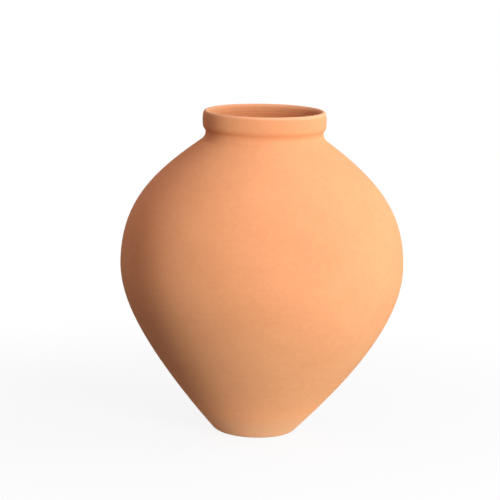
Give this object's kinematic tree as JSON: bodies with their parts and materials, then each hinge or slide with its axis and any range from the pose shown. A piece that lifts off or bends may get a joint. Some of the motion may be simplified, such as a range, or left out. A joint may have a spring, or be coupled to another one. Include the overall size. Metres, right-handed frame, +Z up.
{
  "type": "terracotta vase",
  "caption": "Unglazed terracotta floor vase: small flat foot, wide round belly, short hollow neck and rolled rim, for stems, branches or a plant.",
  "frame": {"origin": "middle of the foot, on the floor", "axes": "+Z up the axis that the vase was thrown on; X and Y are level and alike, because the vase is round"},
  "size_m": [0.43, 0.43, 0.495],
  "materials": {
    "terracotta": "unglazed fired earthenware, matt, with fine throwing lines and grain"
  },
  "bodies": {
    "root": {"base_disc": "terracotta", "base_coil": "terracotta", "lower_wall": "terracotta", "belly_coil": "terracotta", "upper_wall": "terracotta", "neck_collar": "terracotta", "rim_roll": "terracotta"}
  },
  "joints": []
}
